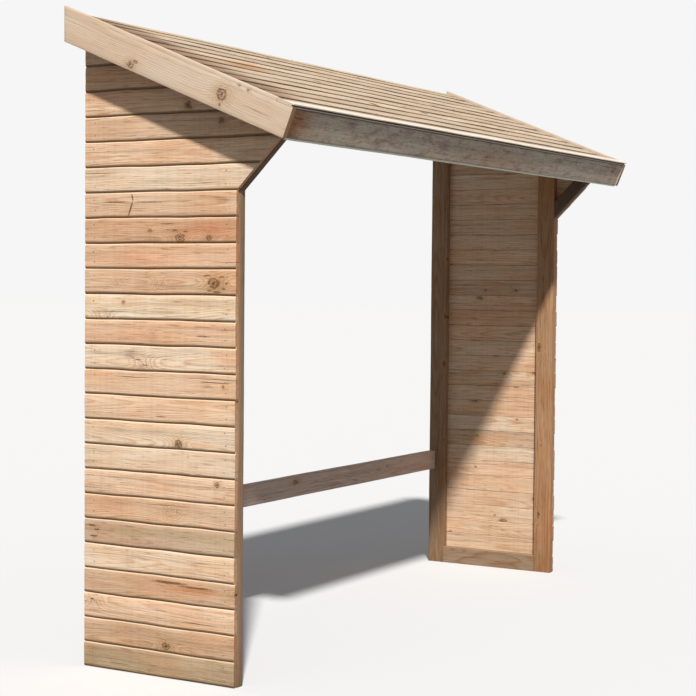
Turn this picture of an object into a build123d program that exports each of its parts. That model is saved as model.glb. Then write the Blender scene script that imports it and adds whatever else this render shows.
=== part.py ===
"""A lean-to log store: two boarded side panels under a boarded pent roof, open at the front and back.

The store stands with its back edge along a wall. +X runs along the wall, +Y points into the wall and
+Z is up. The origin is on the ground, at the middle of the store's overall box. All sizes are in
millimetres. Side views are drawn as (y, z) on the YZ plane and extruded along X.
"""
from build123d import *
from math import cos, radians, sin, tan
import os

os.makedirs("parts", exist_ok=True)

# Overall sizes
store_width = 2452.0        # over the outer faces of the boarded side panels
panel_depth = 585.0         # wall to the front face of the front posts
back_height = 2101.0        # ground to the top of the bargeboards at the wall
roof_pitch = 22.1           # in degrees
eaves_overhang = 265.0      # front posts to the front of the eaves, measured level
verge_overhang = 103.0      # side panel to the outer face of the bargeboard
flare_angle = 45.0          # slope of the flared front edge under the eaves, in degrees
flare_top_drop = 46.9       # roof boards' underside to the top of the flare, behind the eaves beam

# Timber sections
post_width = 76.0
frame_thickness = 29.0
rail_height = 70.0
batten_height = 44.0
flare_batten_width = 50.0
low_rail_height = 80.0
low_rail_foot = 415.0       # ground to the underside of the low back rail
rafter_count = 3
fascia_thickness = 20.0
fascia_height = 97.0        # from the roof boards' top down
bargeboard_thickness = 20.0
bargeboard_height = 104.0
verge_upstand = 12.0        # bargeboard's top edge above the roof boards
eaves_strip_width = 62.0    # the strip over the fascia, as thick as the verge stands up
eaves_lip = 5.0             # eaves strip in front of the fascia's face
eased_edge = 2.0            # chamfer along the edges of planed timbers

# Tongued and grooved boards
wall_board_thickness = 16.0
wall_board_cover = {"left": 80.0, "right": 66.0}    # height that each course covers
roof_board_thickness = 16.0
roof_board_cover = 75.5     # the last two boards at the wall share what is left
tongue_length = 6.0
tongue_thickness = 5.0
joint_clearance = 0.4
face_chamfer = 3.5          # the V along each joint of the show face
back_chamfer = 1.5

# Places worked out from the sizes above
roof_depth = panel_depth + eaves_overhang
wall_y = roof_depth / 2
front_y = wall_y - panel_depth
slope_sin = sin(radians(roof_pitch))
slope_cos = cos(radians(roof_pitch))
slope_tan = tan(radians(roof_pitch))
slope_length = roof_depth / slope_cos
roof_top_depth = verge_upstand
roof_underside_depth = roof_top_depth + roof_board_thickness
rail_underside_depth = roof_underside_depth + rail_height
batten_underside_depth = roof_underside_depth + batten_height
fascia_face_run = slope_length - eaves_lip
fascia_back_run = fascia_face_run - fascia_thickness
beam_back_run = fascia_back_run - frame_thickness
strip_back_run = slope_length - eaves_strip_width
slope_axis = Axis((0, 0, 0), (0, slope_cos, slope_sin))
half_roof_width = store_width / 2 + verge_overhang
roof_board_half_length = half_roof_width - bargeboard_thickness
frame_inner_x = store_width / 2 - wall_board_thickness - frame_thickness


def slope_point(run, depth):
    """Side-view point: run mm down the slope from the wall, depth mm square below the bargeboard's top."""
    return (
        wall_y - run * slope_cos + depth * slope_sin,
        back_height - run * slope_sin - depth * slope_cos,
    )


def wall_point(depth):
    """Side-view point on the wall, where the slope line at this depth meets it."""
    return slope_point(depth * slope_tan, depth)


def slope_height(y, depth):
    """Height at y of the slope line at this depth below the bargeboard's top."""
    return back_height - (wall_y - y) * slope_tan - depth / slope_cos


# The flare runs down from the back of the eaves beam to its foot on the front post
flare_rise = tan(radians(flare_angle))
flare_axis = Axis((0, 0, 0), (0, -1, flare_rise))
flare_top = slope_point(beam_back_run, roof_underside_depth + flare_top_drop)
kink_height = flare_top[1] - (front_y - flare_top[0]) * flare_rise


def flare_point(offset, depth):
    """Side-view point where the flare's edge, moved in square to itself by offset, meets a slope line."""
    start_height = kink_height + offset / cos(radians(flare_angle))
    forward = (slope_height(front_y, depth) - start_height) / (flare_rise + slope_tan)
    return (front_y - forward, start_height + forward * flare_rise)


def board_section(thickness, cover, lower_groove=True, upper_tongue=True):
    """Section of one board as (distance in from its show face, distance up from its lower edge).

    The lower edge is grooved and the upper edge carries the tongue, so that water runs off the joint.
    """
    top = cover - joint_clearance
    tongue_face = (thickness - tongue_thickness) / 2
    tongue_back = tongue_face + tongue_thickness
    points = [(0, face_chamfer), (0, top - face_chamfer), (face_chamfer, top)]
    if upper_tongue:
        points += [(tongue_face, top), (tongue_face, top + tongue_length)]
        points += [(tongue_back, top + tongue_length), (tongue_back, top)]
    points += [(thickness - back_chamfer, top), (thickness, top - back_chamfer)]
    points += [(thickness, back_chamfer), (thickness - back_chamfer, 0)]
    if lower_groove:
        groove_depth = tongue_length + joint_clearance
        groove_face = tongue_face - joint_clearance
        groove_back = tongue_back + joint_clearance
        points += [(groove_back, 0), (groove_back, groove_depth)]
        points += [(groove_face, groove_depth), (groove_face, 0)]
    points.append((face_chamfer, 0))
    return points


# The outline of a boarded side, walked from the foot at the wall
side_outline = [
    (wall_y, 0),
    (front_y, 0),
    (front_y, kink_height),
    flare_top,
    slope_point(beam_back_run, roof_underside_depth),
    wall_point(roof_underside_depth),
]

# Side panels: a frame of posts and rails, boarded outside, with a flare that carries the eaves forward
for side in ("left", "right"):
    outward = -1 if side == "left" else 1
    face_x = outward * store_width / 2
    frame_low_x = min(outward * frame_inner_x, outward * (frame_inner_x + frame_thickness))

    # Boards up to the flare, and boards beside the flare up to the roof
    cover = wall_board_cover[side]
    wall_courses = round(kink_height / cover)
    courses = int(slope_height(wall_y, roof_underside_depth) / cover) + 1
    for name, first, last in (("wall_boards", 0, wall_courses), ("gable_boards", wall_courses, courses)):
        with BuildPart() as boards:
            with BuildSketch(Plane.XZ.offset(-wall_y)):
                for course in range(first, last):
                    Polygon(
                        *[
                            (face_x - outward * inward, course * cover + height)
                            for inward, height in board_section(wall_board_thickness, cover)
                        ],
                        align=None,
                    )
            extrude(amount=roof_depth)
            with BuildSketch(Plane.YZ.offset(min(face_x, face_x - outward * wall_board_thickness))):
                Polygon(*side_outline, align=None)
            extrude(amount=wall_board_thickness, mode=Mode.INTERSECT)
        boards.part.label = f"{side}_{name}"
        export_step(boards.part, f"parts/{side}_{name}.step")

    # Posts run from the ground to the underside of the sloping rail
    for name, post_front in (("front_post", front_y), ("back_post", wall_y - post_width)):
        post_back = post_front + post_width
        with BuildPart() as post:
            with BuildSketch(Plane.YZ.offset(frame_low_x)):
                Polygon(
                    (post_front, 0),
                    (post_back, 0),
                    (post_back, slope_height(post_back, rail_underside_depth)),
                    (post_front, slope_height(post_front, rail_underside_depth)),
                    align=None,
                )
            extrude(amount=frame_thickness)
            chamfer(post.edges().filter_by(Axis.Z), length=eased_edge)
        post.part.label = f"{side}_{name}"
        export_step(post.part, f"parts/{side}_{name}.step")

    with BuildPart() as roof_rail:
        with BuildSketch(Plane.YZ.offset(frame_low_x)):
            Polygon(
                wall_point(roof_underside_depth),
                slope_point(beam_back_run, roof_underside_depth),
                flare_top,
                flare_point(0, rail_underside_depth),
                wall_point(rail_underside_depth),
                align=None,
            )
        extrude(amount=frame_thickness)
        chamfer(roof_rail.edges().filter_by(slope_axis), length=eased_edge)
    roof_rail.part.label = f"{side}_roof_rail"
    export_step(roof_rail.part, f"parts/{side}_roof_rail.step")

    with BuildPart() as flare_batten:
        with BuildSketch(Plane.YZ.offset(frame_low_x)):
            Polygon(
                (front_y, kink_height),
                flare_point(0, rail_underside_depth),
                flare_point(flare_batten_width, rail_underside_depth),
                (front_y, kink_height + flare_batten_width / cos(radians(flare_angle))),
                align=None,
            )
        extrude(amount=frame_thickness)
        chamfer(flare_batten.edges().filter_by(flare_axis), length=eased_edge)
    flare_batten.part.label = f"{side}_flare_batten"
    export_step(flare_batten.part, f"parts/{side}_flare_batten.step")

    with BuildPart() as bottom_rail:
        with BuildSketch(Plane.YZ.offset(frame_low_x)):
            Polygon(
                (front_y + post_width, 0),
                (wall_y - post_width, 0),
                (wall_y - post_width, rail_height),
                (front_y + post_width, rail_height),
                align=None,
            )
        extrude(amount=frame_thickness)
        chamfer(bottom_rail.edges().filter_by(Axis.Y), length=eased_edge)
    bottom_rail.part.label = f"{side}_bottom_rail"
    export_step(bottom_rail.part, f"parts/{side}_bottom_rail.step")

    # The verge: a bargeboard over the ends of the roof boards, notched at its front end for the eaves
    # strip, and the batten that it is nailed to
    barge_x = outward * half_roof_width
    with BuildPart() as bargeboard:
        with BuildSketch(Plane.YZ.offset(min(barge_x, barge_x - outward * bargeboard_thickness))):
            Polygon(
                wall_point(0),
                slope_point(strip_back_run, 0),
                slope_point(strip_back_run, roof_top_depth),
                slope_point(slope_length, roof_top_depth),
                slope_point(slope_length, bargeboard_height),
                wall_point(bargeboard_height),
                align=None,
            )
        extrude(amount=bargeboard_thickness)
        # Both faces are eased all round, but for the end that is sawn plumb against the wall
        for face in bargeboard.faces().filter_by(Axis.X):
            chamfer(face.edges().sort_by(Axis.Y)[:-1], length=eased_edge)
    bargeboard.part.label = f"{side}_bargeboard"
    export_step(bargeboard.part, f"parts/{side}_bargeboard.step")

    batten_x = outward * roof_board_half_length
    with BuildPart() as verge_batten:
        with BuildSketch(Plane.YZ.offset(min(batten_x, batten_x - outward * frame_thickness))):
            Polygon(
                wall_point(roof_underside_depth),
                slope_point(beam_back_run, roof_underside_depth),
                slope_point(beam_back_run, batten_underside_depth),
                wall_point(batten_underside_depth),
                align=None,
            )
        extrude(amount=frame_thickness)
        chamfer(verge_batten.edges().filter_by(slope_axis), length=eased_edge)
    verge_batten.part.label = f"{side}_verge_batten"
    export_step(verge_batten.part, f"parts/{side}_verge_batten.step")

# Rails across the back, between the back posts
high_rail_front = wall_y - frame_thickness
with BuildPart() as high_back_rail:
    with BuildSketch(Plane.YZ.offset(-frame_inner_x)):
        Polygon(
            (wall_y, slope_height(wall_y, rail_underside_depth)),
            (high_rail_front, slope_height(high_rail_front, rail_underside_depth)),
            (high_rail_front, slope_height(high_rail_front, rail_underside_depth) - rail_height),
            (wall_y, slope_height(high_rail_front, rail_underside_depth) - rail_height),
            align=None,
        )
    extrude(amount=2 * frame_inner_x)
    chamfer(high_back_rail.edges().filter_by(Axis.X), length=eased_edge)
high_back_rail.part.label = "high_back_rail"
export_step(high_back_rail.part, "parts/high_back_rail.step")

with BuildPart() as low_back_rail:
    with BuildSketch(Plane.YZ.offset(-frame_inner_x)):
        with Locations((wall_y - frame_thickness / 2, low_rail_foot + low_rail_height / 2)):
            Rectangle(frame_thickness, low_rail_height)
    extrude(amount=2 * frame_inner_x)
    chamfer(low_back_rail.edges().filter_by(Axis.X), length=eased_edge)
low_back_rail.part.label = "low_back_rail"
export_step(low_back_rail.part, "parts/low_back_rail.step")

# Rafters between the side panels, and the eaves beam across their front ends
rafter_spacing = 2 * frame_inner_x / (rafter_count + 1)
for number in range(1, rafter_count + 1):
    rafter_x = -frame_inner_x + number * rafter_spacing
    with BuildPart() as rafter:
        with BuildSketch(Plane.YZ.offset(rafter_x - frame_thickness / 2)):
            Polygon(
                wall_point(roof_underside_depth),
                slope_point(beam_back_run, roof_underside_depth),
                slope_point(beam_back_run, rail_underside_depth),
                wall_point(rail_underside_depth),
                align=None,
            )
        extrude(amount=frame_thickness)
        chamfer(rafter.edges().filter_by(slope_axis), length=eased_edge)
    rafter.part.label = f"rafter_{number}"
    export_step(rafter.part, f"parts/rafter_{number}.step")

with BuildPart() as eaves_beam:
    with BuildSketch(Plane.YZ.offset(-roof_board_half_length)):
        Polygon(
            slope_point(beam_back_run, roof_top_depth),
            slope_point(fascia_back_run, roof_top_depth),
            slope_point(fascia_back_run, rail_underside_depth),
            slope_point(beam_back_run, rail_underside_depth),
            align=None,
        )
    extrude(amount=2 * roof_board_half_length)
    chamfer(eaves_beam.edges().filter_by(Axis.X), length=eased_edge)
eaves_beam.part.label = "eaves_beam"
export_step(eaves_beam.part, "parts/eaves_beam.step")

with BuildPart() as fascia:
    with BuildSketch(Plane.YZ.offset(-roof_board_half_length)):
        Polygon(
            slope_point(fascia_back_run, roof_top_depth),
            slope_point(fascia_face_run, roof_top_depth),
            slope_point(fascia_face_run, roof_top_depth + fascia_height),
            slope_point(fascia_back_run, roof_top_depth + fascia_height),
            align=None,
        )
    extrude(amount=2 * roof_board_half_length)
    chamfer(fascia.edges().filter_by(Axis.X), length=eased_edge)
fascia.part.label = "fascia"
export_step(fascia.part, "parts/fascia.step")

# The strip over the fascia and the eaves beam, ripped from a grooved board, with its groove to the front
groove_end_run = slope_length - tongue_length - joint_clearance
groove_top = (verge_upstand - tongue_thickness) / 2 - joint_clearance
groove_bottom = verge_upstand - groove_top
with BuildPart() as eaves_strip:
    with BuildSketch(Plane.YZ.offset(-half_roof_width)) as strip_section:
        Polygon(
            slope_point(strip_back_run, 0),
            slope_point(slope_length, 0),
            slope_point(slope_length, roof_top_depth),
            slope_point(strip_back_run, roof_top_depth),
            align=None,
        )
        # Every long edge is eased but the foremost, which the rain drips from
        chamfer(strip_section.vertices().sort_by(Axis.X)[1:], length=eased_edge)
        Polygon(
            slope_point(groove_end_run, groove_top),
            slope_point(slope_length, groove_top),
            slope_point(slope_length, groove_bottom),
            slope_point(groove_end_run, groove_bottom),
            align=None,
            mode=Mode.SUBTRACT,
        )
    extrude(amount=2 * half_roof_width)
eaves_strip.part.label = "eaves_strip"
export_step(eaves_strip.part, "parts/eaves_strip.step")

# Roof boards, counted up the slope from the eaves beam, with the tongue towards the wall. The last two are
# ripped to the same cover, so that neither is a sliver.
full_board_count = int(beam_back_run / roof_board_cover) - 1
ripped_cover = (beam_back_run - full_board_count * roof_board_cover) / 2
roof_covers = full_board_count * [roof_board_cover] + 2 * [ripped_cover]
for number, cover in enumerate(roof_covers, 1):
    front_run = sum(roof_covers[number - 1:])
    at_wall = number == len(roof_covers)
    section = board_section(roof_board_thickness, cover, number > 1, not at_wall)
    if at_wall:
        # The last board has no upper edge of its own: it is sawn plumb against the wall
        section = [point for point in section if point[1] < cover / 2]
        outline = [slope_point(front_run - up, roof_top_depth + down) for down, up in section]
        outline.insert(1, wall_point(roof_top_depth))
        outline.insert(2, wall_point(roof_underside_depth))
    else:
        outline = [slope_point(front_run - up, roof_top_depth + down) for down, up in section]
    with BuildPart() as roof_board:
        with BuildSketch(Plane.YZ.offset(-roof_board_half_length)):
            Polygon(*outline, align=None)
        extrude(amount=2 * roof_board_half_length)
    roof_board.part.label = f"roof_board_{number:02d}"
    export_step(roof_board.part, f"parts/roof_board_{number:02d}.step")
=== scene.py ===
"""A timber lean-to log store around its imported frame: boarded sides, posts, pent roof, verges and nails.

Sizes are in metres. +X runs along the wall, +Y points into the wall and +Z is up. Every timber is a section
carried along its length. Each of its points keeps where it lies in the timber: how far along the grain, how
far across, and how far in from the show face. The wood's finish reads those, so the grain runs with each
timber.
"""
import itertools
import math

import bmesh
import bpy
import numpy as np
from mathutils import Matrix, Vector


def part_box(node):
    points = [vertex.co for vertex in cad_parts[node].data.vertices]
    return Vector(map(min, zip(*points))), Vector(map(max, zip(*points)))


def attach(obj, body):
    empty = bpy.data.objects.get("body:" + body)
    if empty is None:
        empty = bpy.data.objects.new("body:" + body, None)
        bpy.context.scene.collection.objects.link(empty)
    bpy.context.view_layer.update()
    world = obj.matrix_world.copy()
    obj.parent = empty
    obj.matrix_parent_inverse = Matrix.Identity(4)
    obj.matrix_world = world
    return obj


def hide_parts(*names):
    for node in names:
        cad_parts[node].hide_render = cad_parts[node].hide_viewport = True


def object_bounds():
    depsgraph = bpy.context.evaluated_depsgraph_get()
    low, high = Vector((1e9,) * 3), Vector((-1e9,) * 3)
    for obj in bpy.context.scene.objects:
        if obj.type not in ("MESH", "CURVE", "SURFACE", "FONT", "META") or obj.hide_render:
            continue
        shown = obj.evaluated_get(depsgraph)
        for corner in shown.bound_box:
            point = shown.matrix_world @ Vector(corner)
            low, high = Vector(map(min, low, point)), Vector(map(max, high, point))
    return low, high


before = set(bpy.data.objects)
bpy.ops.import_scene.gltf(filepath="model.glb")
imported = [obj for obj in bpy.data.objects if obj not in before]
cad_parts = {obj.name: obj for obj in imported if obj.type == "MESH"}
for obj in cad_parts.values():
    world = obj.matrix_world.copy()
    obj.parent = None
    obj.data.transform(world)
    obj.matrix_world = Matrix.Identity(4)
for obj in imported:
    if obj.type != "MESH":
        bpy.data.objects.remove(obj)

cad_low, cad_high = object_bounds()
SIDES = {"left": -1, "right": 1}

# Sizes of the store, from its frame and its timbers
roof_pitch = math.radians(22.1)
slope_sin, slope_cos, slope_tan = math.sin(roof_pitch), math.cos(roof_pitch), math.tan(roof_pitch)
wall_y = cad_high.y
back_height = cad_high.z
front_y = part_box("left_front_post")[0].y
kink_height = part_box("left_flare_batten")[0].z
face_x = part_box("right_wall_boards")[1].x
half_roof_width = cad_high.x
board_thickness = 0.016
side_cover = {"left": 0.080, "right": 0.066}
roof_cover = 0.0755
post_width = 0.076
frame_thickness = 0.029
flare_batten_width = 0.050
verge_thickness = 0.020
verge_height = 0.104
fascia_height = 0.097
strip_width = 0.062
roof_top_depth = 0.012
roof_underside_depth = roof_top_depth + board_thickness
rail_underside_depth = roof_underside_depth + 0.070
slope_length = (cad_high.y - cad_low.y) / slope_cos
eaves_lip = 0.005
strip_back_run = slope_length - strip_width
beam_back_run = slope_length - eaves_lip - verge_thickness - frame_thickness
frame_inner_x = face_x - board_thickness - frame_thickness

# The flare runs out and up at 45 degrees, to a point inside the eaves beam
flare_reach = 0.21497
flare_top = Vector((0, front_y, kink_height)) + flare_reach * Vector((0, -1, 1))

# Covers of the roof boards, counted up the slope from the eaves beam. The last two share what is left.
full_boards = int(beam_back_run / roof_cover) - 1
ripped_cover = (beam_back_run - full_boards * roof_cover) / 2
roof_covers = full_boards * [roof_cover] + 2 * [ripped_cover]

# Sawn timber: lengths of its waves across and through, along a joint and at a ragged end, how far a joint
# wanders, and the most that a side board's front end is set back
edge_waves = (0.8, 0.12)
face_waves = (1.1, 0.2)
joint_wave = 0.45
ragged_wave = 0.03
joint_wander = 0.0010
deepest_setback = 0.0035

# Nails: rows up a board as shares of its cover, rows and reach on the fascia, how far a head strays, how far
# it keeps from a side board's front end and below a slanting one, and the shortest side board that is nailed
side_nail_rows = (0.27, 0.73)
roof_nail_rows = (0.28, 0.72)
fascia_nail_depths = (0.022, 0.070)
fascia_nail_reach = 1.28
nail_stray = 0.004
nail_inset = 0.035
nail_headroom = 0.02
shortest_nailed = 0.12

# Meshes: points closer than this are one, and edges sharper than this stay crisp
merge_distance = 1e-6
crisp_angle = math.radians(32)

# Directions of the roof: down the slope, and square below its top edge
DOWN_SLOPE = np.array((0, -slope_cos, -slope_sin))
INTO_ROOF = np.array((0, slope_sin, -slope_cos))
X, Y, Z = np.eye(3)


def on_slope(run, depth):
    """A point run metres down the slope from the wall and depth metres square below the verge's top edge."""
    return np.array((0, wall_y, back_height)) + run * DOWN_SLOPE + depth * INTO_ROOF


def slope_height(y, depth):
    """Height at y of the slope line at this depth below the verge's top edge."""
    return back_height - (wall_y - y) * slope_tan - depth / slope_cos


def side_front(height):
    """Front edge of a boarded side at each height: post's face, flare, a line in the beam, then the roof."""
    flare = front_y - (height - kink_height)
    beam = flare_top.y - (height - flare_top.z) * slope_tan
    roof = wall_y - (slope_height(wall_y, roof_underside_depth) - height) / slope_tan
    edge = np.select([height < kink_height, height < flare_top.z], [front_y, flare], beam)
    return np.clip(np.maximum(edge, roof), None, wall_y)


# Shapes

def square_end(place):
    """An end cut square at this place along the grain, for every point of a section."""
    return lambda v, w: np.full_like(v, place)


def wander(distance, seed, wave, reach):
    """A smooth wander of about reach: three sines of falling length and height, with random phases."""
    rng = np.random.default_rng(seed)
    total = 0
    for part in (1, 2, 3):
        length = wave * rng.uniform(0.7, 1.4) / part
        total = total + np.sin(math.tau * (distance / length + rng.uniform())) / part
    return reach * total / 1.5


def closed_line(corners, step):
    """Points round a closed outline, with each straight side split into equal lengths of at most step."""
    corners = np.asarray(corners, float)
    sides = []
    for here, there in zip(corners, np.roll(corners, -1, axis=0)):
        count = max(1, math.ceil(np.linalg.norm(there - here) / step - 1e-6))
        sides.append(here + (there - here) * np.arange(count)[:, None] / count)
    return np.concatenate(sides)


def planed_section(width, thickness, arris=0.002, step=0.012, first_arris=None, start=0.0):
    """Section of a planed timber from start to width across: a rectangle whose corners are quarter circles.

    first_arris is the radius of the two corners at the start, when it differs from the other two.
    """
    first_arris = arris if first_arris is None else first_arris
    corners = []
    for quarter, (across, through) in enumerate(((1, 1), (0, 1), (0, 0), (1, 0))):
        size = arris if across else first_arris
        centre = np.array((width - size if across else start + size, abs(through * thickness - size)))
        turn = np.array((0, math.pi / 4, math.pi / 2)) + quarter * math.pi / 2
        corners.append(centre + size * np.stack((np.cos(turn), np.sin(turn)), axis=1))
    return closed_line(np.concatenate(corners), step)


def board_section(cover, step=0.011, grooved=True):
    """Section of a tongued and grooved board as (across, in from the show face), with softened V edges."""
    chamfer, softness, back_chamfer, gap = 0.0035, 0.0006, 0.0015, 0.0004
    tongue_face, tongue_back, tongue = 0.0055, 0.0105, 0.006
    top = cover - gap
    corners = [
        (chamfer + softness, 0), (top - chamfer - softness, 0), (top - chamfer + softness, softness),
        (top - softness, chamfer - softness), (top, chamfer + softness),
        (top, tongue_face), (top + tongue, tongue_face), (top + tongue, tongue_back), (top, tongue_back),
        (top, board_thickness - back_chamfer), (top - back_chamfer, board_thickness),
        (back_chamfer, board_thickness), (0, board_thickness - back_chamfer),
    ]
    if grooved:
        corners += [
            (0, tongue_back + gap), (tongue + gap, tongue_back + gap),
            (tongue + gap, tongue_face - gap), (0, tongue_face - gap),
        ]
    corners += [(0, chamfer + softness), (softness, chamfer - softness), (chamfer - softness, softness)]
    return closed_line(corners, step)


def timber(section, axes, origin, first, last, seed, step=0.012, bow=0.0006, edge=0.0004, ragged=0.0, cup=0.0,
           joint=None):
    """One timber: its section carried along its grain.

    A point is origin + u * along + v * across + w * through. Each point (v, w) of the section has its own
    first and last u, so an end may be cut at any slope. Along the length v and w wander a little, as sawn
    wood does, and the edges stand up to cup from the middle. joint is the number of the joint below a board
    in a wall: its lower and upper edges wander with that joint and the next, so that neighbours stay
    together. The first and last rings are drawn in, which eases the ends.
    """
    along, across, through = (np.asarray(axis, float) for axis in axes)
    v, w = section.T
    handed = np.linalg.det(np.stack((along, across, through)))
    area = np.sum(v * np.roll(w, -1) - w * np.roll(v, -1))
    if handed * area < 0:
        v, w = v[::-1], w[::-1]
    u_first = first(v, w) + ragged * (1 + wander(v, seed + 5, ragged_wave, 1)) / 2
    u_last = last(v, w) - ragged * (1 + wander(v, seed + 6, ragged_wave, 1)) / 2
    count = max(2, math.ceil(np.max(u_last - u_first) / step))
    ease = 0.0006
    share = np.concatenate(([0], np.linspace(0, 1, count), [1]))[:, None]
    u = u_first + (u_last - u_first) * share
    u[1] = u[0] + np.minimum(ease, (u_last - u_first) / 3)
    u[-2] = u[-1] - np.minimum(ease, (u_last - u_first) / 3)
    middle = np.array(((v.min() + v.max()) / 2, (w.min() + w.max()) / 2))
    half = np.array((np.ptp(v), np.ptp(w))) / 2
    drawn = np.ones_like(share)
    drawn[[0, -1]] = 0
    v_all = middle[0] + (v - middle[0]) * (1 - (1 - drawn) * ease / half[0])
    w_all = middle[1] + (w - middle[1]) * (1 - (1 - drawn) * ease / half[1])
    if joint is None:
        v_bent = v_all + wander(u, seed + 1, edge_waves[0], edge)
        v_bent = v_bent + wander(u + v_all, seed + 2, edge_waves[1], edge / 4)
    else:
        upward = np.clip(v_all / np.ptp(v), 0, 1)
        first_joint_seed = 3000
        low_edge, high_edge = (wander(u, first_joint_seed + joint + k, joint_wave, joint_wander)
                               for k in (0, 1))
        v_bent = v_all + low_edge * (1 - upward) + high_edge * upward
    w_bent = w_all + wander(u, seed + 3, face_waves[0], bow)
    w_bent = w_bent + wander(u + 3 * v_all, seed + 4, face_waves[1], bow / 4)
    hollow = cup * np.random.default_rng(seed + 7).uniform(-1, 1)
    w_bent = w_bent + hollow * (((v_all - middle[0]) / half[0]) ** 2 - 1 / 3)
    points = origin + u[..., None] * along + v_bent[..., None] * across + w_bent[..., None] * through
    grain = np.stack((u, v_all, w_all), axis=-1)
    capped = np.broadcast_to(1 - drawn, u.shape)
    return {"points": points, "grain": grain, "capped": capped, "seed": seed}


def piece(name, timbers, material, slot, *nodes):
    """One mesh from several timbers: quads between their rings and a face on each end."""
    points, grain, capped, number, faces, start = [], [], [], [], [], 0
    for one in timbers:
        rings, around = one["points"].shape[:2]
        index = start + np.arange(rings * around).reshape(rings, around)
        after = np.roll(index, -1, axis=1)
        quads = np.stack((index[:-1], after[:-1], after[1:], index[1:]), axis=-1).reshape(-1, 4)
        faces += quads.tolist()
        faces += [index[0][::-1].tolist(), index[-1].tolist()]
        points.append(one["points"].reshape(-1, 3))
        grain.append(one["grain"].reshape(-1, 3))
        capped.append(one["capped"].ravel())
        tone = np.random.default_rng(one["seed"]).uniform()
        number.append(np.full(rings * around, one.get("tone", tone)))
        start += rings * around
    low, high = np.array(cad_low), np.array(cad_high)
    mesh = bpy.data.meshes.new(name)
    mesh.from_pydata(np.clip(np.concatenate(points), low, high), [], faces)
    mesh.attributes.new("timber", "FLOAT_VECTOR", "POINT").data.foreach_set(
        "vector", np.concatenate(grain).astype(np.float32).ravel())
    for label, values in (("tone", number), ("capped", capped)):
        mesh.attributes.new(label, "FLOAT", "POINT").data.foreach_set(
            "value", np.concatenate(values).astype(np.float32))
    return settle(name, mesh, material, slot, *nodes)


def settle(name, mesh, material, slot, *nodes):
    """Closes a mesh, gives it its finish and hangs it on the store in place of the frame's plain nodes."""
    work = bmesh.new()
    work.from_mesh(mesh)
    bmesh.ops.remove_doubles(work, verts=work.verts, dist=merge_distance)
    bmesh.ops.dissolve_degenerate(work, edges=work.edges, dist=merge_distance)
    work.to_mesh(mesh)
    work.free()
    mesh.validate()
    mesh.shade_smooth()
    mesh.set_sharp_from_angle(angle=crisp_angle)
    mesh.materials.append(material)
    made = bpy.data.objects.new(name, mesh)
    bpy.context.scene.collection.objects.link(made)
    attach(made, "root")
    if nodes:
        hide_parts(*nodes)
    return made


def nail_heads(name, heads, slot):
    """One mesh of low round nail heads, each a dome of eight sides on a shank end that is sunk in the wood.

    A head is (middle, outward): rings of radius r stand h above the wood for each (r, h) of the profile.
    """
    profile = np.array(((2.4, -1.5), (2.4, 0.15), (1.9, 0.5), (1.0, 0.7))) / 1000
    around = 8
    turn = math.tau * np.arange(around) / around
    aslant = (0.31, 0.52, 0.79)
    points, faces = [], []
    for middle, outward in heads:
        outward = np.asarray(outward, float)
        side = np.cross(outward, aslant)
        side /= np.linalg.norm(side)
        other = np.cross(outward, side)
        start = len(points)
        for radius, height in profile:
            points += list(middle + height * outward + radius * (np.cos(turn)[:, None] * side
                                                                 + np.sin(turn)[:, None] * other))
        for low in range(start, len(points) - around, around):
            faces += [(low + k, low + (k + 1) % around, low + around + (k + 1) % around, low + around + k)
                      for k in range(around)]
        faces.append(tuple(reversed(range(start, start + around))))
        faces.append(tuple(range(len(points) - around, len(points))))
    mesh = bpy.data.meshes.new(name)
    mesh.from_pydata(np.array(points), [], faces)
    return settle(name, mesh, nail_zinc, slot)


# Finishes

def srgb(red, green, blue):
    """A colour as it looks on a screen, 0 to 255, as the linear values that a shader takes."""
    return tuple(((c / 255 + 0.055) / 1.055) ** 2.4 if c > 10 else c / 255 / 12.92
                 for c in (red, green, blue))


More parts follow.
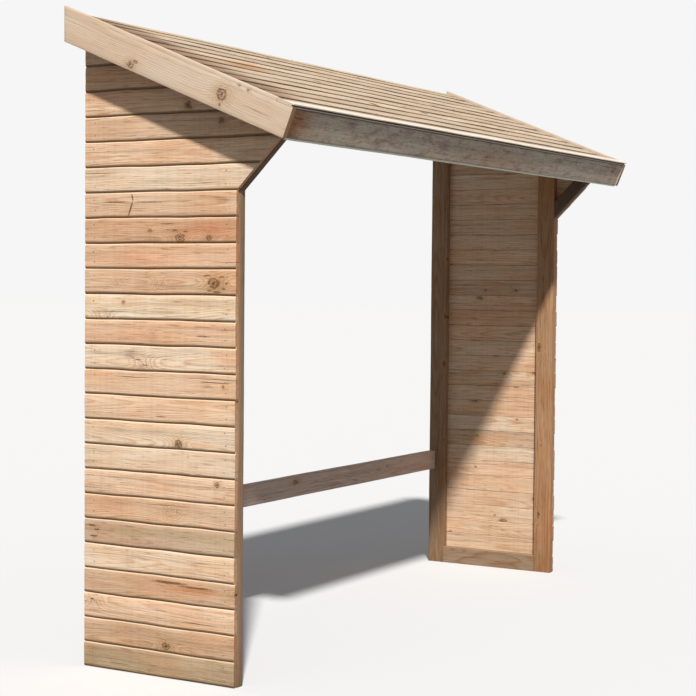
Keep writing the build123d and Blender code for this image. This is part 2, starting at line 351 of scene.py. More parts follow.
class Shading:
    """The nodes of one material or of the world. Most calls add nodes and give a result to build on."""

    def __init__(self, owner, shader="Principled BSDF"):
        owner.use_nodes = True
        self.tree = owner.node_tree
        self.shader = self.tree.nodes[shader]

    def fill(self, node, **inputs):
        """Sets a node's inputs, by name or as n0, n1 by number, to a value or to another node's output."""
        for key, value in inputs.items():
            wanted = node.inputs[int(key[1:])] if key[1:].isdigit() else node.inputs[key.replace("_", " ")]
            if isinstance(value, bpy.types.NodeSocket):
                self.tree.links.new(value, wanted)
            else:
                wanted.default_value = value
        return node

    def add(self, kind, settings=None, **inputs):
        """A node with its settings and inputs."""
        made = self.tree.nodes.new(kind)
        for key, value in (settings or {}).items():
            setattr(made, key, value)
        return self.fill(made, **inputs)

    def number(self, kind, first, second=0.0, third=0.0):
        """The result of one Math node."""
        return self.add("ShaderNodeMath", {"operation": kind}, n0=first, n1=second, n2=third).outputs[0]

    def square(self, value):
        """A number times itself."""
        return self.number("MULTIPLY", value, value)

    def vector(self, kind, first, second=(0.0, 0.0, 0.0)):
        """The result of one Vector Math node, a number for a length and else a vector."""
        made = self.add("ShaderNodeVectorMath", {"operation": kind}, n0=first, n1=second)
        return made.outputs["Value" if kind == "LENGTH" else "Vector"]

    def parts(self, vector):
        """The three numbers of a vector."""
        return self.add("ShaderNodeSeparateXYZ", Vector=vector).outputs

    def joined(self, **parts):
        """A vector of up to three numbers X, Y and Z."""
        return self.add("ShaderNodeCombineXYZ", **parts).outputs[0]

    def noise(self, place, scale, **settings):
        """A noise from 0 to 1 at a stretched place, with about 1 feature in each 1 / scale."""
        stretched = self.vector("MULTIPLY", place, scale)
        return self.add("ShaderNodeTexNoise", Vector=stretched, Scale=1.0, **settings).outputs[0]

    def scattered(self, place):
        """A random point in each cell of a flat grid: the nearest one's outputs, and its random numbers."""
        cells = self.add("ShaderNodeTexVoronoi", {"voronoi_dimensions": "2D"},
                         Vector=place, Scale=1.0).outputs
        return cells, self.add("ShaderNodeSeparateColor", Color=cells["Color"]).outputs

    def ramp(self, factor, *stops, steps=False):
        """A colour ramp of (place, grey or colour) stops. A fourth number in a colour is its strength."""
        made = self.add("ShaderNodeValToRGB", n0=factor)
        if steps:
            made.color_ramp.interpolation = "CONSTANT"
        while len(made.color_ramp.elements) < len(stops):
            made.color_ramp.elements.new(0.5)
        for element, (place, colour) in zip(made.color_ramp.elements, stops):
            element.position = place
            colour = colour if isinstance(colour, tuple) else (colour, colour, colour)
            element.color = (*colour, 1)[:4]
        return made.outputs[0]

    def blend(self, kind, factor, *colours):
        """The colour result of one Mix node of two colours."""
        first, second = (colour if isinstance(colour, bpy.types.NodeSocket) else (*colour, 1)
                         for colour in colours)
        made = self.add("ShaderNodeMix", {"data_type": "RGBA", "blend_type": kind},
                        n0=factor, n6=first, n7=second)
        return made.outputs[2]


class Grain(Shading):
    """The nodes of a wooden finish: where a point lies in its timber, shared noises, and the colour so far.

    u runs along the grain, v across it and w in from the show face. tone is each timber's own number from 0
    to 1, and own is the place moved apart by it. capped is 1 on end grain and inside is 1 elsewhere. calm is
    (u, v, course), and restless is calm shaken by a noise. Each layer changes colour.
    """

    def __init__(self, owner, courses, place):
        super().__init__(owner)
        self.courses = courses
        self.local = self.add("ShaderNodeTexCoord").outputs["Object"]
        if place is None:
            where, self.tone, self.capped = (
                self.add("ShaderNodeAttribute", {"attribute_name": name}).outputs[output]
                for name, output in (("timber", "Vector"), ("tone", "Fac"), ("capped", "Fac")))
        else:
            where = self.add("ShaderNodeMapping", Vector=self.local, Rotation=place).outputs[0]
            self.tone = self.add("ShaderNodeObjectInfo").outputs["Random"]
            self.capped = self.add("ShaderNodeValue").outputs[0]
            self.capped.default_value = 0.0
        self.inside = self.number("SUBTRACT", 1.0, self.capped)
        u, self.v, self.w = self.parts(where)
        self.own = self.vector("ADD", where, self.vector("MULTIPLY", self.tone, (31.0, 17.0, 7.0)))
        own_u, own_v, _ = self.parts(self.own)
        self.flat = self.joined(X=own_u, Y=own_v)
        self.calm = self.joined(X=u, Y=self.v, Z=self.number("MULTIPLY", self.tone, float(courses)))
        shake = self.add("ShaderNodeTexNoise", Vector=self.vector("MULTIPLY", self.own, (60.0, 90.0, 20.0)),
                         Scale=1.0, Detail=3.0, Roughness=0.6).outputs["Color"]
        shake = self.vector("SUBTRACT", shake, (0.5, 0.5, 0.5))
        self.unrest = self.vector("MULTIPLY", shake, (0.025, 0.015, 0.0))
        self.restless = self.vector("ADD", self.calm, self.unrest)
        self.jagged = self.noise(self.own, (80.0, 110.0, 40.0), Detail=3.0)
        self.fibre = self.noise(self.own, (9.0, 420.0, 420.0), Detail=3.0, Roughness=0.7)
        self.streak = self.noise(self.own, (2.4, 90.0, 90.0), Detail=4.0, Roughness=0.65)
        self.cloud = self.noise(self.own, (2.2, 12.0, 12.0), Detail=3.0)

    def nearest(self, marks, start, place):
        """The least distance from the place to any of the marks, 1 at an oval's edge."""
        for course, middle, height, long, high, *lean in marks:
            offset = self.vector("SUBTRACT", place, (middle, height, course + 0.5 if self.courses else 0.0))
            if lean:
                shift = self.number("MULTIPLY", self.number("SUBTRACT", self.v, height), lean[0])
                offset = self.vector("ADD", offset, self.joined(X=shift))
            far = self.vector("LENGTH", self.vector("MULTIPLY", offset, (1 / long, 1 / high, 9.0)))
            start = self.number("MINIMUM", start, far)
        return start

    def knot_distance(self, knots, knot_share):
        """Distance to the nearest knot over its size: of random ones, and of those listed."""
        shaken = self.vector("ADD", self.flat, self.unrest)
        cells, chance = self.scattered(self.vector("MULTIPLY", shaken, (4.5, 9.0, 0.0)))
        size = self.number("MULTIPLY_ADD", self.square(chance[0]), 0.075, 0.022)
        size = self.number("MULTIPLY_ADD", size, self.number("LESS_THAN", chance[1], knot_share), 0.0004)
        far = self.nearest(knots, self.number("DIVIDE", cells["Distance"], size), self.restless)
        return self.number("ADD", far, self.number("MULTIPLY_ADD", self.jagged, 0.5, -0.25))

    def latewood(self, ring, eddy):
        """The dark part of each growth ring.

        Rings are circles round a pith a few centimetres behind the show face. They are wavy along the grain,
        and they swell round knots.
        """
        swell = self.number("POWER", 2.0, self.number("MULTIPLY", self.square(eddy), -0.30))
        wave = self.noise(self.own, (1.6, 9.0, 9.0), Detail=2.0)
        pith = self.number("FRACT", self.number("MULTIPLY", self.tone, 9.7))
        pith = self.number("MULTIPLY_ADD", pith, 0.10, -0.01)
        sideways = self.number("SUBTRACT", self.number("MULTIPLY_ADD", wave, 0.05, self.v), pith)
        slow = self.noise(self.own, (0.9, 2.0, 2.0), Detail=1.0)
        behind = self.number("ADD", self.number("MULTIPLY_ADD", slow, 0.06, 0.008), self.w)
        radius = self.number("SQRT", self.number("ADD", self.square(sideways), self.square(behind)))
        radius = self.number("MULTIPLY_ADD", swell, 0.010, radius)
        return self.ramp(self.number("FRACT", self.number("DIVIDE", radius, ring)),
                         (0.0, 0.25), (0.12, 0.0), (0.55, 0.15), (0.9, 1.0), (1.0, 0.35))

    def lay(self, kind, factor, tint):
        """Lays a tint over the colour so far."""
        self.colour = self.blend(kind, factor, self.colour, tint)

    def tint_timbers(self, tints):
        """A tint for each course of a wall of boards, and else a tint by each timber's tone."""
        count = self.courses or len(tints) - 1
        stops = ((number / count, tint) for number, tint in enumerate(tints))
        self.colour = self.ramp(self.tone, *stops, steps=bool(self.courses))

    def draw_grain(self, late, rings, warmth, coarse):
        """Rings, warm patches, dark streaks, fibres and short dashes along the grain."""
        ring_share = self.number("MULTIPLY", late, self.number("MULTIPLY_ADD", self.cloud, 1.3, 0.1))
        self.lay("MULTIPLY", ring_share, rings)
        warm = self.noise(self.own, (3.1, 8.0, 8.0), Detail=2.0, Distortion=0.5)
        self.lay("MULTIPLY", warmth, self.ramp(warm, (0.42, 1.0), (0.66, srgb(250, 232, 216))))
        self.lay("MULTIPLY", 0.65 * coarse, self.ramp(self.streak, (0.44, 1.0), (0.58, 0.80), (0.72, 0.50)))
        self.lay("MULTIPLY", 0.7 * coarse, self.ramp(self.fibre, (0.3, 0.64), (0.60, 1.0)))
        dash = self.noise(self.own, (16.0, 300.0, 300.0), Detail=2.0)
        self.lay("MULTIPLY", 0.6 * coarse, self.ramp(dash, (0.60, 1.0), (0.68, srgb(178, 150, 124))))

    def rain_marks(self, strength):
        """Upright rain marks, and splashes near the ground."""
        rain = self.noise(self.local, (90.0, 90.0, 3.0), Detail=3.0)
        self.lay("MULTIPLY", strength, self.ramp(rain, (0.36, 0.93), (0.56, 1.0)))
        splash = self.noise(self.local, (5.0, 5.0, 9.0), Detail=3.0)
        low = self.number("ADD", self.parts(self.local)[2], self.number("MULTIPLY_ADD", splash, 0.3, -0.13))
        self.lay("MULTIPLY", strength, self.ramp(
            low, (0.0, srgb(212, 210, 198)), (0.10, srgb(240, 237, 230)), (0.24, 1.0)))

    def soft_patches(self, patches):
        """Patches of another tint with cloudy edges."""
        for tint, spread in patches:
            near = self.number("SUBTRACT", self.nearest((spread,), 9.0, self.restless), 0.6)
            near = self.number("MULTIPLY_ADD", self.cloud, 1.2, near)
            self.lay("MULTIPLY", self.ramp(near, (0.15, 1.0), (1.0, 0.0)), tint)

    def blotches(self, strength):
        """Grey and olive blotches."""
        blotch = self.noise(self.own, (11.0, 34.0, 34.0), Detail=5.0, Roughness=0.75)
        self.lay("MULTIPLY", strength, self.ramp(
            blotch, (0.36, srgb(188, 176, 180)), (0.46, srgb(236, 224, 218)), (0.54, 1.0),
            (0.64, srgb(214, 218, 196)), (0.74, srgb(170, 164, 146))))

    def dark_streaks(self, streaks):
        """Dark streaks placed one by one, ragged at their edges. The result is where they lie."""
        ragged = self.number("MULTIPLY_ADD", self.jagged, 0.7, -0.35)
        thin = self.number("ADD", self.nearest(streaks, 9.0, self.calm), ragged)
        thin = self.ramp(thin, (0.55, 0.9), (1.0, 0.0))
        self.lay("MIX", thin, srgb(112, 78, 52))
        return thin

    def random_cracks(self):
        """Straight tapered cracks in some of the cells of a stretched grid. The result is where they lie."""
        place = self.vector("MULTIPLY", self.flat, (3.0, 26.0, 0.0))
        cells, luck = self.scattered(place)
        crack_u, crack_v, _ = self.parts(self.vector("SUBTRACT", place, cells["Position"]))
        half_length = self.number("MULTIPLY_ADD", luck[0], 0.35, 0.06)
        taper = self.number("SUBTRACT", half_length, self.number("ABSOLUTE", crack_u))
        wavy = self.noise(self.own, (30.0, 20.0, 20.0), Detail=2.0)
        wavy = self.number("MULTIPLY_ADD", wavy, 0.06, -0.03)
        line = self.number("ABSOLUTE", self.number("ADD", crack_v, wavy))
        crack = self.number("SUBTRACT", self.number("MULTIPLY", taper, 0.10), line)
        crack = self.number("MULTIPLY", crack, self.number("LESS_THAN", luck[1], 0.16))
        crack = self.ramp(self.number("MULTIPLY", crack, 60.0), (0.0, 0.0), (0.5, 1.0))
        self.lay("MIX", self.number("MULTIPLY", crack, 0.8), srgb(58, 42, 33))
        return crack

    def draw_knots(self, far, eddy):
        """Swirls of grain round the knots, then each knot's stained heart, its rim and its ochre halo."""
        stain, heart_wood = srgb(54, 38, 28), srgb(138, 98, 64)
        rim, ochre = srgb(84, 56, 38), srgb(186, 146, 100)
        swirl = self.ramp(self.number("FRACT", self.number("MULTIPLY", eddy, 2.1)),
                          (0.0, 0.0), (0.4, 0.0), (0.7, 1.0), (1.0, 0.0))
        faint = self.ramp(self.number("MULTIPLY", eddy, 0.3333), (0.30, 0.6), (0.9, 0.0))
        self.lay("MULTIPLY", self.number("MULTIPLY", swirl, faint), srgb(190, 156, 112))
        knot = self.ramp(
            self.number("MULTIPLY", far, 0.3333), (0.0, (*stain, 0.95)), (0.10, (*stain, 0.85)),
            (0.15, (*heart_wood, 0.85)), (0.21, (*heart_wood, 0.8)), (0.26, (*rim, 0.95)),
            (0.31, (*rim, 0.8)), (0.36, (*ochre, 0.5)), (0.6, (*ochre, 0.2)), (1.0, (*ochre, 0.0)))
        broken = self.ramp(self.noise(self.own, (230.0, 260.0, 60.0), Detail=2.0), (0.36, 0.3), (0.54, 1.0))
        self.lay("MIX", self.number("MULTIPLY", knot.node.outputs["Alpha"], broken), knot)

    def joint_shade_and_grime(self, strength):
        """Painted shade and grime in each joint and just above it, and a painted highlight on each upper
        edge.
        """
        deep = self.ramp(self.number("MULTIPLY", self.w, 60.0),
                         (0.005, 0.0), (0.05, 1.0), (0.88, 1.0), (0.94, 0.0))
        lower = self.number("LESS_THAN", self.v, 0.02)
        joint_band = self.ramp(self.number("MULTIPLY", self.v, 60.0), (0.32, 0.9), (0.54, 0.0))
        shown = self.number("LESS_THAN", self.w, 0.012)
        # The lower chamfer and the face just above a joint are darkened: painted shade, with grime.
        shade_and_grime = self.number("MAXIMUM", self.number("MULTIPLY", deep, lower),
                           self.number("MULTIPLY", joint_band, shown))
        shade_and_grime = self.number("MULTIPLY", self.number("MULTIPLY", shade_and_grime, self.inside), strength)
        self.lay("MIX", shade_and_grime, srgb(100, 69, 34))
        # The chamfer on each board's upper edge is lightened: a painted highlight.
        upper = self.number("MULTIPLY", deep, self.number("SUBTRACT", 1.0, lower))
        upper = self.number("MULTIPLY", upper, self.inside)
        upper = self.number("MULTIPLY", upper, self.number("LESS_THAN", self.w, 0.0045))
        self.lay("MIX", self.number("MULTIPLY", upper, 0.45), srgb(244, 226, 200))

    def darkening_edges(self, low_edge, high_edge, reach):
        """Darkening that spreads over the face from its two edges."""
        near = self.number("MINIMUM", self.number("SUBTRACT", self.v, low_edge),
                           self.number("SUBTRACT", high_edge, self.v))
        near = self.number("ADD", self.number("DIVIDE", near, reach),
                           self.number("MULTIPLY_ADD", self.streak, 1.2, -0.6))
        near = self.number("MULTIPLY", self.ramp(near, (0.45, 0.95), (1.0, 0.0)), self.inside)
        self.lay("MULTIPLY", near, srgb(158, 136, 114))

    def dark_left_end(self):
        """The dark band of the roof beside the left verge."""
        beside = self.number("MULTIPLY", self.parts(self.local)[0], -1.0)
        beside = self.number("MULTIPLY_ADD", self.cloud, 0.16, self.number("SUBTRACT", beside, 0.93))
        self.lay("MULTIPLY", 1.0, self.ramp(
            beside, (0.12, 1.0), (0.26, srgb(206, 192, 180)), (0.38, srgb(166, 150, 138))))

    def painted_light_faces(self, faces):
        """Faces with painted shade and painted highlights, each told by how far across and how far in it
        lies.
        """
        for low_across, high_across, low_in, high_in, strength, tint in faces:
            covered = self.inside
            for value, low_end, high_end in ((self.v, low_across, high_across), (self.w, low_in, high_in)):
                covered = self.number("MULTIPLY", covered, self.number("GREATER_THAN", value, low_end))
                covered = self.number("MULTIPLY", covered, self.number("LESS_THAN", value, high_end))
            self.lay("MIX", self.number("MULTIPLY", covered, strength), tint)

    def relief(self, late, far, crack, thin):
        """Height of the surface: latewood ridges and knots stand proud, and cracks and streaks are cut in."""
        heart = self.ramp(far, (0.0, 0.9), (0.8, 1.0), (1.0, 0.0))
        height = self.number("MULTIPLY_ADD", late, 0.4, self.number("MULTIPLY", self.fibre, 0.5))
        height = self.number("MULTIPLY_ADD", heart, 0.5, height)
        height = self.number("MULTIPLY_ADD", crack, -1.6, height)
        if thin is not None:
            height = self.number("MULTIPLY_ADD", thin, -0.8, height)
        return height


def wood(name, tints, rings=srgb(232, 206, 182), ring=0.0032, courses=0, knots=(), swirls=(), streaks=(),
         patches=(), knot_share=0.3, warmth=0.8, coarse=1.0, joints=0.0, darkening=None, weather=0.0,
         shaded_end=False, painted_light=(), mottle=0.0, end=srgb(226, 206, 188), place=None):
    """Softwood with grain, knots, cracks and a tint of its own for each timber.

    ring is the width of a growth ring and rings its tint. Knots, swirls of grain, streaks and patches placed
    one by one are ovals: (course, along, across, half length, half height) and, where one slants, its lean,
    with the course's number in a wall of boards and 0 elsewhere. knot_share is the share of random knots that
    are there. joints is the strength of the painted shade and grime in joints and of the painted highlight on
    upper edges; weather and mottle are those of rain marks and of blotches. darkening is (low, high, reach):
    how far the face darkens from the edges at low and high across. painted_light lists (least across, most
    across, least in, most in, strength, colour) of faces with painted shade and painted highlights. end tints
    the end grain. place turns a node of the frame, which has no attributes, so that u runs along it.
    """
    made = bpy.data.materials.new(name)
    grain = Grain(made, courses, place)
    far = grain.knot_distance(knots, knot_share)
    eddy = grain.nearest(swirls, far, grain.restless)
    late = grain.latewood(ring, eddy)
    grain.tint_timbers(tints)
    grain.draw_grain(late, rings, warmth, coarse)
    if weather:
        grain.rain_marks(weather)
    grain.soft_patches(patches)
    if mottle:
        grain.blotches(mottle)
    thin = grain.dark_streaks(streaks) if streaks else None
    crack = grain.random_cracks()
    grain.draw_knots(far, eddy)
    if joints:
        grain.joint_shade_and_grime(joints)
    if darkening:
        grain.darkening_edges(*darkening)
    if shaded_end:
        grain.dark_left_end()
    grain.painted_light_faces(painted_light)
    grain.lay("MULTIPLY", grain.capped, end)
    height = grain.relief(late, far, crack, thin)
    bump = grain.add("ShaderNodeBump", Strength=0.6, Distance=0.0012, Height=height)
    grain.fill(grain.shader, Base_Color=grain.colour, Normal=bump.outputs[0], Specular_IOR_Level=0.25,
               Roughness=grain.number("MULTIPLY_ADD", grain.fibre, 0.22, 0.60))
    return made


def galvanised(name):
    """Dull grey zinc of a nail's head, with a little rust."""
    made = bpy.data.materials.new(name)
    zinc = Shading(made)
    patch = zinc.noise(zinc.add("ShaderNodeTexCoord").outputs["Object"], (260.0, 260.0, 260.0), Detail=3.0)
    colour = zinc.ramp(
        patch, (0.35, srgb(170, 148, 122)), (0.52, srgb(150, 124, 98)), (0.66, srgb(136, 100, 74)))
    bump = zinc.add("ShaderNodeBump", Strength=0.3, Distance=0.0003, Height=patch)
    zinc.fill(zinc.shader, Base_Color=colour, Normal=bump.outputs[0], Metallic=0.6,
              Roughness=zinc.number("MULTIPLY_ADD", patch, 0.4, 0.35))
    return made


TINTS = {
    "pale": srgb(250, 236, 212), "cream": srgb(244, 223, 197), "honey": srgb(241, 210, 180),
    "orange": srgb(241, 206, 174), "amber": srgb(232, 201, 171), "tan": srgb(223, 192, 162),
    "russet": srgb(224, 186, 152), "olive": srgb(216, 191, 164), "khaki": srgb(212, 190, 162),
}
SIDE_TINTS = tuple(TINTS[name] for name in ("tan", "honey", "orange", "cream", "amber"))
# The left side's boards from the ground up, and their knots, swirls, dark streaks and patches
LEFT_COURSES = (
    "khaki tan honey tan cream olive amber honey cream cream honey honey cream orange pale amber orange"
    " russet amber cream honey amber honey amber honey amber").split()
LEFT_KNOTS = (
    (22, 0.023, 0.023, 0.013, 0.012), (21, -0.103, 0.052, 0.012, 0.010),
    (17, 0.166, 0.039, 0.007, 0.005), (17, 0.051, 0.018, 0.018, 0.015), (17, -0.057, 0.019, 0.011, 0.009),
    (15, -0.076, 0.038, 0.022, 0.016), (14, 0.270, 0.054, 0.005, 0.005), (11, -0.115, 0.042, 0.005, 0.005),
    (9, 0.055, 0.019, 0.016, 0.011), (7, -0.093, 0.062, 0.009, 0.008), (1, 0.098, 0.021, 0.016, 0.012),
)
LEFT_SWIRLS = (
    (15, 0.288, 0.039, 0.010, 0.007), (15, 0.131, 0.038, 0.010, 0.007), (14, 0.348, 0.012, 0.020, 0.014),
    (13, 0.155, 0.032, 0.012, 0.010), (12, 0.195, 0.028, 0.020, 0.014), (8, -0.005, 0.034, 0.010, 0.007),
    (6, 0.075, 0.046, 0.022, 0.016), (5, 0.375, 0.040, 0.014, 0.016), (2, 0.385, 0.056, 0.017, 0.013),
)
LEFT_STREAKS = (
    (18, 0.243, 0.028, 0.0046, 0.031, 0.358), (18, 0.236, 0.064, 0.0034, 0.015, -0.20),
    (18, 0.300, 0.050, 0.060, 0.0022), (18, 0.170, 0.048, 0.070, 0.0024),
    (5, 0.395, 0.058, 0.020, 0.0040), (5, 0.372, 0.046, 0.016, 0.0030), (5, 0.385, 0.024, 0.020, 0.0036),
    (12, 0.186, 0.020, 0.020, 0.0022), (12, 0.212, 0.036, 0.014, 0.0022), (2, 0.392, 0.060, 0.010, 0.0030),
    (17, 0.100, 0.060, 0.05, 0.0020), (17, 0.070, 0.040, 0.012, 0.0040), (17, 0.030, 0.036, 0.012, 0.0030),
    (15, -0.050, 0.060, 0.016, 0.0028), (15, -0.105, 0.056, 0.014, 0.0026),
    (15, -0.060, 0.014, 0.013, 0.0036), (15, -0.088, 0.010, 0.018, 0.0040),
    (15, -0.112, 0.020, 0.010, 0.0034), (15, -0.122, 0.036, 0.006, 0.0050),
    (13, -0.037, 0.033, 0.035, 0.0024), (11, -0.085, 0.053, 0.075, 0.0022), (10, 0.120, 0.020, 0.030, 0.0018),
    (3, 0.085, 0.063, 0.080, 0.0042), (3, -0.015, 0.055, 0.080, 0.0036),
)
rosy, grey_green, grey_violet = srgb(254, 240, 236), srgb(234, 237, 228), srgb(216, 206, 206)
LEFT_PATCHES = (
    (srgb(252, 226, 218), (17, -0.050, 0.045, 0.160, 0.035)), (rosy, (12, -0.120, 0.040, 0.090, 0.040)),
    (rosy, (16, 0.180, 0.030, 0.160, 0.030)), (grey_green, (5, 0.050, 0.052, 0.400, 0.024)),
    (rosy, (5, 0.220, 0.018, 0.180, 0.020)), (grey_violet, (12, 0.238, 0.050, 0.034, 0.026)),
    (srgb(236, 208, 186), (3, -0.020, 0.048, 0.160, 0.016)),
    (srgb(226, 214, 196), (15, -0.088, 0.030, 0.060, 0.040)),
)
BROWN_TINTS = (srgb(156, 133, 112), srgb(168, 141, 114), srgb(190, 148, 110))
left_wood = wood(
    "pine boards, left side", [TINTS[name] for name in LEFT_COURSES], courses=len(LEFT_COURSES),
    knots=LEFT_KNOTS, swirls=LEFT_SWIRLS, streaks=LEFT_STREAKS, patches=LEFT_PATCHES, knot_share=0.06,
    joints=0.9, weather=0.8)
right_wood = wood("pine boards, right side", SIDE_TINTS, joints=0.9, weather=0.8)
frame_wood = wood("planed framing", BROWN_TINTS, ring=0.004, weather=0.8)
# The flare struts are a darker copy of the framing: painted shade.
shaded_strut_wood = wood("dark flare struts", 2 * (srgb(104, 84, 68),), ring=0.004, warmth=0.4)
rail_wood = wood("greyed rail", 2 * (srgb(220, 201, 190),), ring=0.004, warmth=0.4)
verge_wood = wood(
    "pale verge boards", 2 * (srgb(213, 194, 173),), rings=srgb(246, 236, 224), ring=0.0045,
    knots=((0, 0.313, 0.085, 0.013, 0.011), (0, 0.668, 0.057, 0.020, 0.018), (0, 0.330, 0.072, 0.007, 0.005),
           (0, 0.755, 0.014, 0.005, 0.004), (0, 0.716, 0.012, 0.004, 0.003), (0, 0.672, 0.086, 0.006, 0.005)),
    # The inner faces of the verges are darkened: painted shade.
    knot_share=0.0, warmth=0.4, coarse=0.4, painted_light=((-1.0, 1.0, 0.0185, 1.0, 0.7, srgb(184, 172, 156)),),
    end=srgb(196, 176, 160))
fascia_wood = wood(
    "weathered fascia", 2 * (srgb(213, 206, 195),), ring=0.0045, knot_share=0.2, warmth=0.3, coarse=0.9,
    mottle=0.9, streaks=((0, -1.268, 0.028, 0.034, 0.0040),),
    patches=((srgb(222, 168, 124), (0, -1.31, 0.060, 0.15, 0.10)),
             (srgb(232, 214, 204), (0, 0.10, 0.060, 0.50, 0.06))),
    # Painted shadow along the top under the strip's lip, and a painted highlight of ground light on the
    # bottom edge.
    painted_light=((-1.0, 0.0045, -1.0, 1.0, 0.8, srgb(96, 80, 66)),
            (0.091, 1.0, -1.0, 1.0, 0.9, srgb(250, 253, 236))))
strip_wood = wood(
    "bright eaves strip", 2 * (srgb(232, 223, 209),), rings=srgb(248, 240, 230), ring=0.0045, knot_share=0.1,
    warmth=0.3, coarse=0.4, darkening=(-1.0, strip_width, 0.024),
    # Painted shade in the groove of the front edge and on the lip below it.
    painted_light=((-1.0, 0.030, 0.0033, 0.0088, 0.9, srgb(70, 58, 46)),
            (-1.0, 0.030, 0.0088, 1.0, 0.7, srgb(176, 164, 150))),
    end=srgb(234, 222, 211))
ROOF_TINTS = (srgb(206, 191, 168), srgb(216, 202, 180), srgb(208, 193, 170), srgb(220, 206, 184))
ROOF_KNOTS = (
    (3, -0.344, 0.022, 0.020, 0.014), (3, 0.069, 0.052, 0.020, 0.013), (8, -1.091, 0.030, 0.016, 0.014))
ROOF_SPOTS = ((3, -0.344, 0.028, 0.022, 0.020), (3, 0.069, 0.048, 0.017, 0.016))
roof_wood = wood(
    "bleached roof boards", [ROOF_TINTS[number % len(ROOF_TINTS)] for number in range(len(roof_covers))],
    courses=len(roof_covers), ring=0.0045, knots=ROOF_KNOTS, streaks=ROOF_SPOTS, knot_share=0.2, warmth=0.4,
    patches=((srgb(246, 206, 164), (6, -0.820, 0.044, 0.200, 0.060)),
             (srgb(248, 214, 176), (7, -0.740, 0.010, 0.140, 0.040))),
    joints=1.0, darkening=(0.0, roof_cover, 0.016), shaded_end=True)
nail_zinc = galvanised("nail zinc")

# Side boards: courses laid from the ground up, then cut to the flare and the roof
top_at_wall = slope_height(wall_y, roof_underside_depth)
side_nails = []
for side, out in SIDES.items():
    cover = side_cover[side]
    section = board_section(cover)
    first_seed, first_joint = (500, 100) if side == "right" else (0, 0)
    wall_courses = round(kink_height / cover)
    courses = int(top_at_wall / cover) + 1
    for group, numbers in (("wall", range(wall_courses)), ("gable", range(wall_courses, courses))):
        boards = []
        for course in numbers:
            foot = course * cover
            shape = section.copy()
            shape[:, 0] = np.minimum(shape[:, 0], top_at_wall - foot)
            rng = np.random.default_rng(course + first_seed)
            setback = rng.uniform(0, deepest_setback)
            board = timber(
                shape, (Y, Z, -out * X), np.array((out * face_x, 0, foot)),
                lambda v, w: side_front(foot + v) + setback, square_end(wall_y),
                seed=course * 10 + first_seed, ragged=0.0012, cup=0.0007, joint=course + first_joint)
            if side == "left":
                board["tone"] = (course + 0.5) / len(LEFT_COURSES)
            boards.append(board)
            for share in side_nail_rows:
                nail_z = foot + share * cover
                front = side_front(np.array((nail_z, nail_z + nail_headroom))).max()
                if front > wall_y - shortest_nailed:
                    continue
                for nail_y in (max(front_y + post_width / 2, front + nail_inset), wall_y - post_width / 2):
                    stray_y, stray_z = rng.uniform(-nail_stray, nail_stray, 2)
                    side_nails.append((np.array((out * face_x, nail_y + stray_y, nail_z + stray_z)), out * X))
        piece(f"{side}_{group}_cladding", boards, left_wood if side == "left" else right_wood, "side_boards",
              f"{side}_{group}_boards")
nail_heads("side_nails", side_nails, "side_boards")

# Posts from the ground to the sloping rail
post_tones = {("left", "front"): 0.1, ("right", "front"): 0.9}
for number, (side, place) in enumerate(itertools.product(SIDES, ("front", "back"))):
    out = SIDES[side]
    post_y = front_y if place == "front" else wall_y - post_width
    post = timber(
        planed_section(post_width, frame_thickness), (Z, Y, -out * X),
        np.array((out * (face_x - board_thickness), post_y, 0)),
        square_end(0.0), lambda v, w: slope_height(post_y + v, rail_underside_depth),
        seed=943 + number, step=0.02, bow=0.0005)
    post["tone"] = post_tones.get((side, place), 0.4)
    piece(f"{side}_{place}_upright", [post], frame_wood, "framing", f"{side}_{place}_post")

# Battens behind the flare
flare_along = np.array((0, -1, 1)) / math.sqrt(2)
flare_across = np.array((0, 1, 1)) / math.sqrt(2)
rise_to_rail = (slope_height(front_y, rail_underside_depth) - kink_height) * math.sqrt(2)
for side, out in SIDES.items():
    batten = timber(
        planed_section(flare_batten_width, frame_thickness), (flare_along, flare_across, -out * X),
        np.array((out * (face_x - board_thickness), front_y, kink_height)),
        lambda v, w: v, lambda v, w: (rise_to_rail + v * (slope_tan - 1)) / (1 + slope_tan),
        seed=950 + out, step=0.02)
    piece(f"{side}_flare_strut", [batten], shaded_strut_wood, "framing", f"{side}_flare_batten")

# Low rail across the back
rail_low, rail_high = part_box("low_back_rail")
rail = timber(
    planed_section(rail_high.z - rail_low.z, frame_thickness), (X, Z, Y),
    np.array((0, rail_low.y, rail_low.z)), square_end(rail_low.x), square_end(rail_high.x),
    seed=960, step=0.03)
piece("back_rail", [rail], rail_wood, "framing", "low_back_rail")

# Verges, notched at the front for the eaves strip: the full length below the notch, and a lath above it
fascia_half = half_roof_width - verge_thickness
soft_arris, sharp_arris, lath_gap = 0.0025, 0.00005, 0.00002
for side, out in SIDES.items():
    below = planed_section(verge_height, verge_thickness, soft_arris, first_arris=sharp_arris,
                           start=roof_top_depth)
    above = planed_section(roof_top_depth - lath_gap, verge_thickness, sharp_arris, first_arris=soft_arris)
    parts = [timber(
        section, (DOWN_SLOPE, INTO_ROOF, -out * X), on_slope(0, 0) + out * half_roof_width * X,
        lambda v, w: v * slope_tan, square_end(end_run), seed=970 + out, bow=0.0004)
        for section, end_run in ((below, slope_length), (above, strip_back_run))]
    piece(f"{side}_verge_board", parts, verge_wood, "bargeboards", f"{side}_bargeboard")

# Fascia, and the grooved strip over it from verge to verge
fascia = timber(
    planed_section(fascia_height, verge_thickness, soft_arris), (X, INTO_ROOF, -DOWN_SLOPE),
    on_slope(slope_length - eaves_lip, roof_top_depth),
    square_end(-fascia_half), square_end(fascia_half), seed=980, step=0.02)
piece("eaves_fascia", [fascia], fascia_wood, "fascia", "fascia")
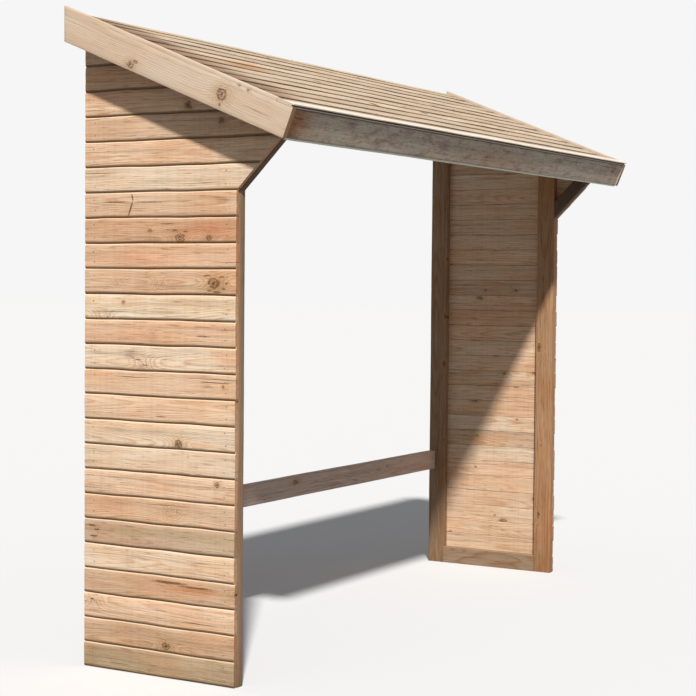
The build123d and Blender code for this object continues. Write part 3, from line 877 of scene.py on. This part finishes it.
# The strip's section in millimetres, up the slope and into the roof
strip_outline = np.array((
    (0, 0), (60, 0), (61.4, 0.6), (62, 2), (62, 10), (60, 12), (2, 12), (0.6, 11.4), (0, 10), (0, 8.9),
    (6.4, 8.9), (6.4, 3.1), (0, 3.1), (0, 0.6))) / 1000
strip = timber(
    closed_line(strip_outline, 0.01), (X, -DOWN_SLOPE, INTO_ROOF), on_slope(slope_length, 0),
    square_end(-half_roof_width), square_end(half_roof_width), seed=985, step=0.02, bow=0.0004)
piece("bright_eaves_strip", [strip], strip_wood, "bargeboards", "eaves_strip")

# Roof boards, counted up the slope from the eaves beam, with nails over the verge battens and the rafters
rafter_x = np.linspace(-frame_inner_x, frame_inner_x, 5)[1:4]
nail_columns = [-fascia_half + frame_thickness / 2, *rafter_x, fascia_half - frame_thickness / 2]
roof_nails = []
for number, cover in enumerate(roof_covers, 1):
    front_run = sum(roof_covers[number - 1:])
    shape = board_section(cover, grooved=number > 1)
    shape[:, 0] = np.minimum(shape[:, 0], front_run - (roof_top_depth + shape[:, 1]) * slope_tan)
    board = timber(
        shape, (X, -DOWN_SLOPE, INTO_ROOF), on_slope(front_run, roof_top_depth),
        square_end(-fascia_half), square_end(fascia_half),
        seed=1000 + number * 10, step=0.02, bow=0.0008, cup=0.0008, joint=200 + number)
    board["tone"] = (number - 0.5) / len(roof_covers)
    piece(f"roof_plank_{number:02d}", [board], roof_wood, "roof_boards", f"roof_board_{number:02d}")
    rng = np.random.default_rng(number)
    for nail_x in nail_columns:
        for share in roof_nail_rows:
            stray_run, stray_x = rng.uniform(-nail_stray, nail_stray, 2)
            nail_run = front_run - share * cover + stray_run
            roof_nails.append((on_slope(nail_run, roof_top_depth) + (nail_x + stray_x) * X, -INTO_ROOF))
nail_heads("roof_nails", roof_nails, "roof_boards")
fascia_nails = [(on_slope(slope_length - eaves_lip, roof_top_depth + depth) + nail_x * X, DOWN_SLOPE)
                for nail_x in np.linspace(-fascia_nail_reach, fascia_nail_reach, 7)
                for depth in fascia_nail_depths]
nail_heads("fascia_nails", fascia_nails, "fascia")

# Timbers of the frame that keep their shape
hidden_wood = {
    "across": wood("framing along the wall", BROWN_TINTS, knot_share=0.0, place=(0.0, 0.0, 0.0)),
    "deep": wood("framing into the wall", BROWN_TINTS, knot_share=0.0, place=(0.0, 0.0, math.radians(-90))),
}
for name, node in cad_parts.items():
    if node.hide_render:
        continue
    size = Vector(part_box(name)[1]) - Vector(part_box(name)[0])
    node.data.materials.clear()
    node.data.materials.append(hidden_wood["across" if size.x > size.y else "deep"])

# Floor, light and camera
floor_mesh = bpy.data.meshes.new("floor")
reach = 60.0
floor_corners = [(-reach, -reach, 0), (reach, -reach, 0), (reach, reach, 0), (-reach, reach, 0)]
floor_mesh.from_pydata(floor_corners, [], [(0, 1, 2, 3)])
floor = bpy.data.objects.new("floor", floor_mesh)
bpy.context.scene.collection.objects.link(floor)


def for_camera(nodes, lit, seen):
    """One colour for light that bounces, and one for what the camera sees, also in glass or a gloss."""
    ray = nodes.add("ShaderNodeLightPath").outputs
    direct = nodes.number("MAXIMUM", ray["Is Camera Ray"], ray["Is Glossy Ray"])
    direct = nodes.number("MAXIMUM", direct, ray["Is Transmission Ray"])
    return nodes.blend("MIX", direct, lit, seen)


floor_finish = bpy.data.materials.new("pale floor")
paper = Shading(floor_finish)
paper.fill(paper.shader, Base_Color=for_camera(paper, (0.25, 0.25, 0.25), (0.749, 0.761, 0.777)),
           Roughness=0.9, Specular_IOR_Level=0.0)
floor_mesh.materials.append(floor_finish)

world = bpy.data.worlds.new("soft light")
bpy.context.scene.world = world
sky = Shading(world, "Background")
sky.fill(sky.shader, Color=for_camera(sky, (0.252, 0.253, 0.258), (0.92, 0.92, 0.92)))

key_data = bpy.data.lights.new("key", "SUN")
key_data.energy = 4.35
key_data.angle = math.radians(3)
key_data.color = (1.0, 0.97, 0.93)
key = bpy.data.objects.new("key", key_data)
bpy.context.scene.collection.objects.link(key)
key.rotation_mode = "QUATERNION"
sun_direction = Vector((0.594, 0.370, -0.714))
key.rotation_quaternion = sun_direction.to_track_quat("-Z", "Y")

# The camera, worked out from the joints of the boards and the corners of posts, verges and fascia
camera_data = bpy.data.cameras.new("camera")
camera_data.sensor_width = 36.0
camera_data.lens = 86.708
camera = bpy.data.objects.new("camera", camera_data)
bpy.context.scene.collection.objects.link(camera)
camera_place = (-5.4406, -3.0058, 1.2545)
heading, tilt, roll = math.radians(30.21), math.radians(-2.359), math.radians(0.491)
forward = Vector((math.cos(heading) * math.cos(tilt), math.sin(heading) * math.cos(tilt), math.sin(tilt)))
level_right = Vector((math.sin(heading), -math.cos(heading), 0))
level_up = level_right.cross(forward)
right = math.cos(roll) * level_right + math.sin(roll) * level_up
up = math.cos(roll) * level_up - math.sin(roll) * level_right
turn = Matrix((right, up, -forward)).transposed().to_4x4()
camera.matrix_world = Matrix.Translation(camera_place) @ turn
bpy.context.scene.camera = camera
bpy.context.scene.view_settings.view_transform = "Standard"
